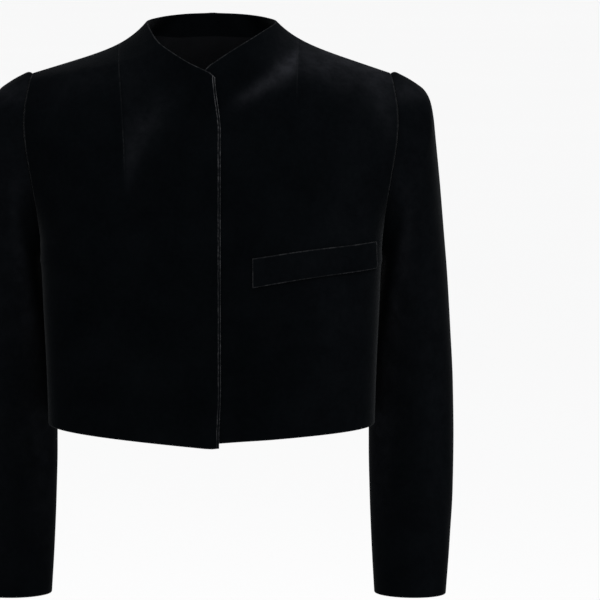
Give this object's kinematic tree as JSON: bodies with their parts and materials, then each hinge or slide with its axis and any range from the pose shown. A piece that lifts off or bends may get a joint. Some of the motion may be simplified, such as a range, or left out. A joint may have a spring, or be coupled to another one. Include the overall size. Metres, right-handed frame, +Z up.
{
  "type": "jacket",
  "caption": "Cropped black velvet jacket, worn and empty, with a grown-on funnel neck, lapped fronts with no buttons, roped set-in sleeves and a slanted welt pocket.",
  "frame": {"origin": "midway between the two shoulder points, where the wearer's shoulders hold the jacket", "axes": "+Z up, -Y the way the wearer faces, +X towards the wearer's left"},
  "size_m": [0.5284, 0.2367, 0.636],
  "materials": {
    "velvet": "matt black cotton velvet with a short pile"
  },
  "bodies": {
    "root": {"front_right": "velvet", "front_left": "velvet", "back": "velvet", "sleeve_left": "velvet", "sleeve_right": "velvet", "pocket_welt": "velvet"}
  },
  "joints": []
}
